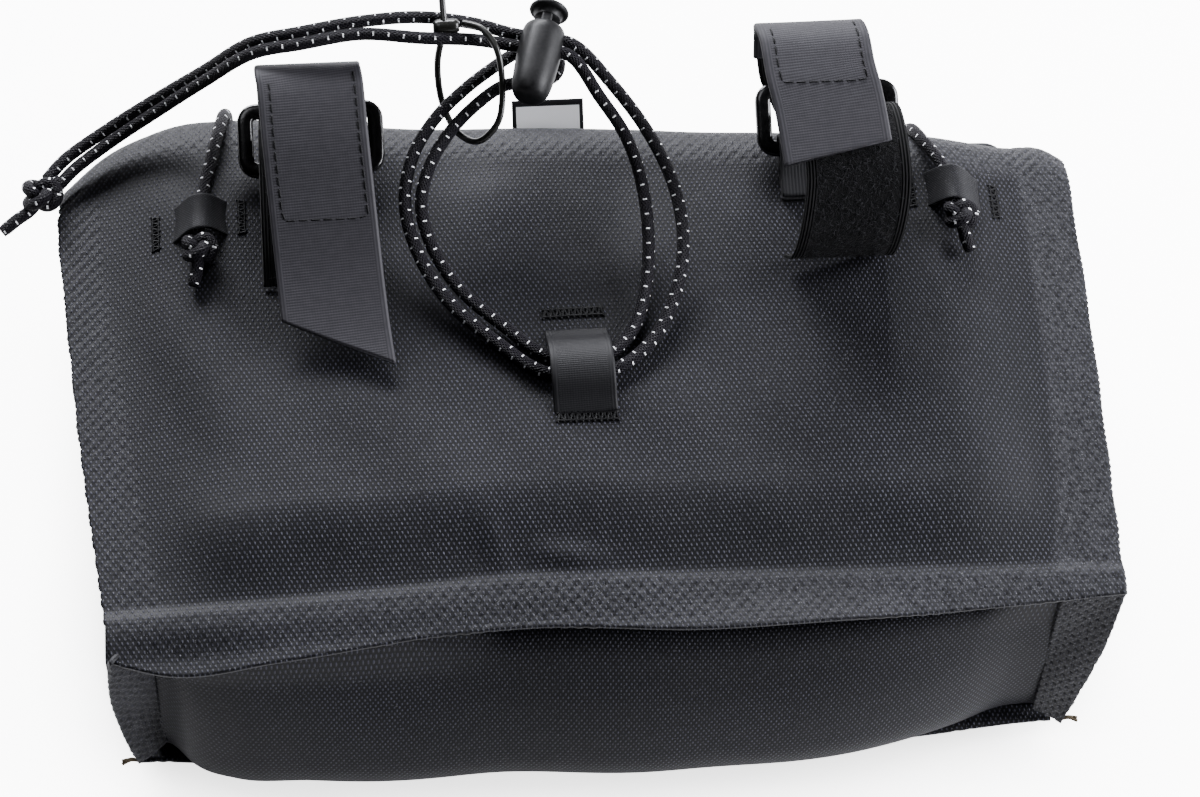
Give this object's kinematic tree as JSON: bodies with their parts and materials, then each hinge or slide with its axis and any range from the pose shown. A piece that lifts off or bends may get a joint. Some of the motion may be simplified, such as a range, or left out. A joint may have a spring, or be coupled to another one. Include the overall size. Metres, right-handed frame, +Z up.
{
  "type": "handlebar bag",
  "caption": "Small soft handlebar bag with welded flanged seams, two hook-and-loop mounting straps through rings, an elastic stabilising cord with a sprung cord lock, and a zipped top.",
  "frame": {"origin": "on the floor under the middle of the bag, which lies on its front panel", "axes": "+Z up out of the back (mounting) panel, +Y towards the bag's top edge, +X along its width, to the right seen from behind the bag"},
  "size_m": [0.2586, 0.1644, 0.1073],
  "materials": {
    "shell_fabric": "coated plain weave, charcoal",
    "webbing": "ribbed nylon webbing, dark grey",
    "strap_loop_tape": "fuzzy loop tape, black, smooth back",
    "hook_tape": "hook tape, black",
    "thread": "bonded thread, black",
    "ring_plastic": "gloss black acetal",
    "shock_cord": "woven cord with white flecks",
    "lock_plastic": "satin dark grey",
    "spring_steel": "bright",
    "tie_plastic": "dark nylon",
    "zip_tape": "coated tape, black",
    "zip_coil": "nylon coil, black",
    "zip_metal": "gunmetal",
    "label_cloth": "woven, white with a dark edge"
  },
  "bodies": {
    "bag": {"back_panel": "shell_fabric", "bottom_gusset": "shell_fabric", "bungee_cord": "shock_cord", "bungee_knot": "shock_cord", "cargo_cord": "shock_cord", "cargo_guide_left": "webbing", "cargo_guide_right": "webbing", "cargo_knot_left": "shock_cord", "cargo_knot_right": "shock_cord", "centre_loop": "webbing", "centre_loop_bartack_lower": "thread", "centre_loop_bartack_upper": "thread", "cord_lock_barrel": "lock_plastic", "cord_lock_spring": "spring_steel", "corner_seam_bottom_left": "shell_fabric", "corner_seam_bottom_right": "shell_fabric", "corner_seam_top_left": "shell_fabric", "corner_seam_top_right": "shell_fabric", "front_panel": "shell_fabric", "label_tab": "label_cloth", "left_gusset": "shell_fabric", "left_ring_anchor": "webbing", "left_side_loop": "webbing", "left_side_loop_bartack_inner": "thread", "left_side_loop_bartack_outer": "thread", "left_strap": "strap_loop_tape", "right_gusset": "shell_fabric", "right_ring_anchor": "webbing", "right_side_loop": "webbing", "right_side_loop_bartack_inner": "thread", "right_side_loop_bartack_outer": "thread", "right_strap": "strap_loop_tape", "tie_band": "tie_plastic", "tie_head": "tie_plastic", "top_gusset": "shell_fabric", "zip_coil": "zip_coil", "zip_stop_left": "zip_metal", "zip_stop_right": "zip_metal", "zip_tape_back": "zip_tape", "zip_tape_front": "zip_tape"},
    "left_ring": {"left_ring": "ring_plastic"},
    "right_ring": {"right_ring": "ring_plastic"},
    "left_tail": {"left_strap_tail": "webbing", "left_hook_patch": "hook_tape"},
    "right_tail": {"right_strap_tail": "webbing", "right_hook_patch": "hook_tape"},
    "zip_slider": {"zip_slider": "zip_metal"},
    "zip_pull": {"zip_pull": "zip_metal"},
    "lock_button": {"cord_lock_button": "lock_plastic"}
  },
  "joints": [
    {"name": "left_ring_swing", "type": "hinge", "parent": "bag", "child": "left_ring", "pos_m": [-0.0625, 0.05756, 0.0735], "axis": [1, 0, 0], "range_deg": [-6, 6]},
    {"name": "right_ring_swing", "type": "hinge", "parent": "bag", "child": "right_ring", "pos_m": [0.0625, 0.05756, 0.0735], "axis": [1, 0, 0], "range_deg": [-6, 6]},
    {"name": "left_tail_peel", "type": "hinge", "parent": "bag", "child": "left_tail", "pos_m": [-0.0625, 0.0661, 0.097], "axis": [-1, 0, 0], "range_deg": [0, 100]},
    {"name": "right_tail_peel", "type": "hinge", "parent": "bag", "child": "right_tail", "pos_m": [0.0625, 0.0664, 0.1078], "axis": [-1, 0, 0], "range_deg": [0, 100]},
    {"name": "zip_slide", "type": "slide", "parent": "bag", "child": "zip_slider", "axis": [1, 0, 0], "range_m": [0, 0.124]},
    {"name": "zip_pull_swing", "type": "hinge", "parent": "zip_slider", "child": "zip_pull", "pos_m": [-0.062, 0.0775, 0.036], "axis": [0, 0, 1], "range_deg": [0, 180]},
    {"name": "lock_button_press", "type": "slide", "parent": "bag", "child": "lock_button", "axis": [-0.2588, -0.9659, 0], "range_m": [0, 0.004], "stiffness_N_per_m": 400, "deforming": ["cord_lock_spring"]}
  ]
}
